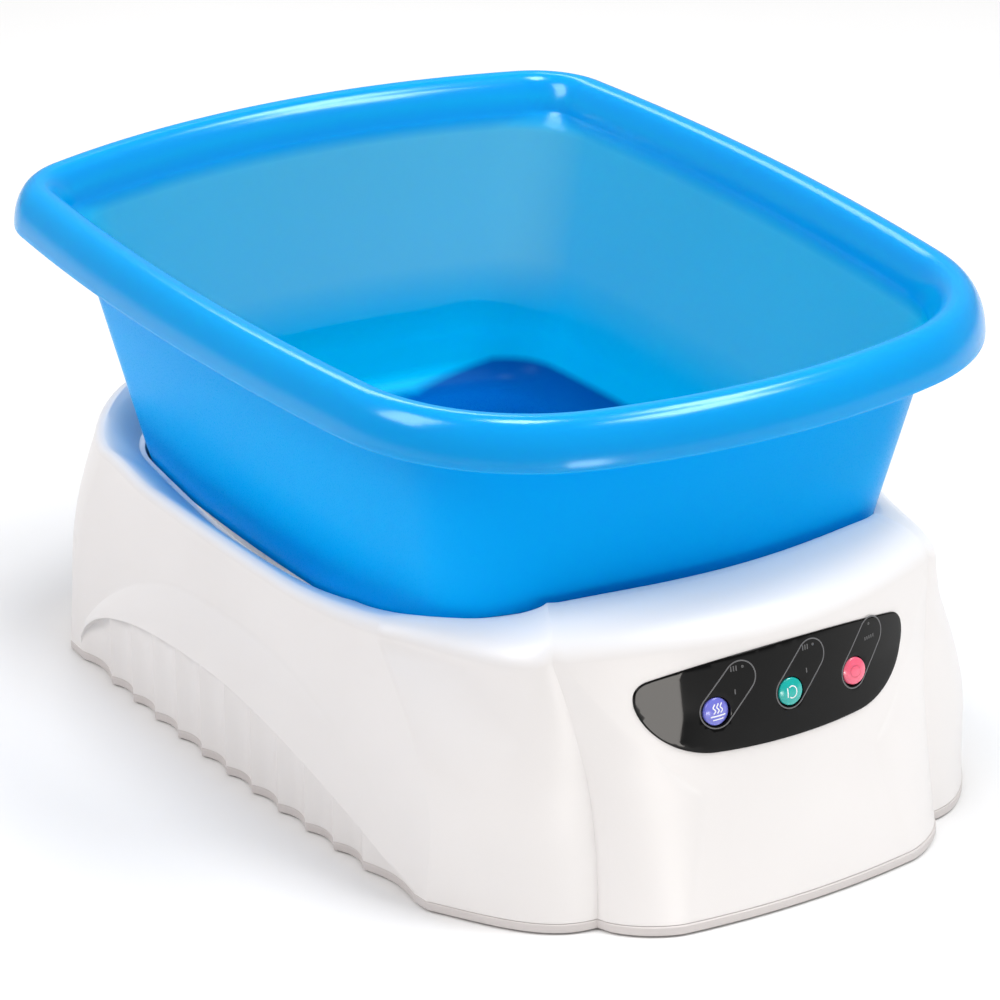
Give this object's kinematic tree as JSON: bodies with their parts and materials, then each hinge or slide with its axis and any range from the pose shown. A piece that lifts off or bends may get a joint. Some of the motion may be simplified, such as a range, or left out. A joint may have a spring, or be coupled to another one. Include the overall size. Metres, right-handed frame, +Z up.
{
  "type": "foot spa basin",
  "caption": "Lift-out translucent tub with a rolled rim, standing in a fluted powered base with a curved control panel and push buttons.",
  "frame": {"origin": "on the floor under the rubber feet, at the middle of the bounding box in plan", "axes": "+Z up, the control panel faces -Y, +X to the right of someone facing the panel"},
  "size_m": [0.3876, 0.534, 0.264],
  "materials": {
    "tub": "translucent blue moulding, satin outside, glossier inside",
    "housing": "white moulded shell, soft satin gloss",
    "tray": "warm light grey moulded tray",
    "fascia": "polished black panel",
    "cap_violet": "violet and pearl cap with a wave sign",
    "cap_teal": "teal cap with a round sign",
    "cap_pink": "pink cap with a ring sign",
    "board": "green circuit board with tracks",
    "black_plastic": "black moulded plastic, fine grain",
    "lamp": "clear-lensed lamp, unlit",
    "steel": "plated steel",
    "alloy": "pressed aluminium plate",
    "copper": "varnished copper winding on a steel core",
    "rubber": "black rubber",
    "wire_black": "black insulation",
    "wire_blue": "blue insulation",
    "wire_red": "red insulation"
  },
  "bodies": {
    "base": {"housing": "housing", "tray": "tray", "fascia": "fascia", "control_board": "board", "power_board": "board", "heat_plate": "alloy", "heating_element": "steel", "thermal_cutout": "black_plastic", "motor_front": "steel", "motor_rear": "steel", "motor_bracket_front": "black_plastic", "motor_bracket_rear": "black_plastic", "transformer": "copper", "power_inlet": "black_plastic", "wire_supply": "wire_black", "wire_control": "wire_blue", "wire_motor": "wire_red", "wire_heater": "wire_red", "switch_wave": "black_plastic", "switch_bubble": "black_plastic", "switch_power": "black_plastic", "lamp_wave_high": "lamp", "lamp_wave_low": "lamp", "lamp_bubble_high": "lamp", "lamp_bubble_low": "lamp", "lamp_power": "lamp", "foot_front_left": "rubber", "foot_front_right": "rubber", "foot_rear_left": "rubber", "foot_rear_right": "rubber", "tray_screw_1": "steel", "tray_screw_2": "steel", "tray_screw_3": "steel", "tray_screw_4": "steel", "tray_screw_5": "steel", "tray_screw_6": "steel"},
    "tub": {"tub": "tub"},
    "button_wave": {"button_wave": "cap_violet"},
    "button_bubble": {"button_bubble": "cap_teal"},
    "button_power": {"button_power": "cap_pink"},
    "weight_front": {"motor_weight_front": "steel"},
    "weight_rear": {"motor_weight_rear": "steel"}
  },
  "joints": [
    {"name": "tub_lift", "type": "slide", "parent": "base", "child": "tub", "axis": [0, 0, 1], "range_m": [0, 0.09]},
    {"name": "button_wave_press", "type": "slide", "parent": "base", "child": "button_wave", "axis": [0, 0.9824, -0.1867], "range_m": [0, 0.0008], "stiffness_N_per_m": 300},
    {"name": "button_bubble_press", "type": "slide", "parent": "base", "child": "button_bubble", "axis": [0, 0.9824, -0.1867], "range_m": [0, 0.0008], "stiffness_N_per_m": 300},
    {"name": "button_power_press", "type": "slide", "parent": "base", "child": "button_power", "axis": [0, 0.9824, -0.1867], "range_m": [0, 0.0008], "stiffness_N_per_m": 300},
    {"name": "weight_front_spin", "type": "hinge", "parent": "base", "child": "weight_front", "pos_m": [0.0265, -0.115, 0.067], "axis": [1, 0, 0], "continuous": true},
    {"name": "weight_rear_spin", "type": "hinge", "parent": "base", "child": "weight_rear", "pos_m": [0.0265, 0.141, 0.067], "axis": [1, 0, 0], "continuous": true}
  ]
}
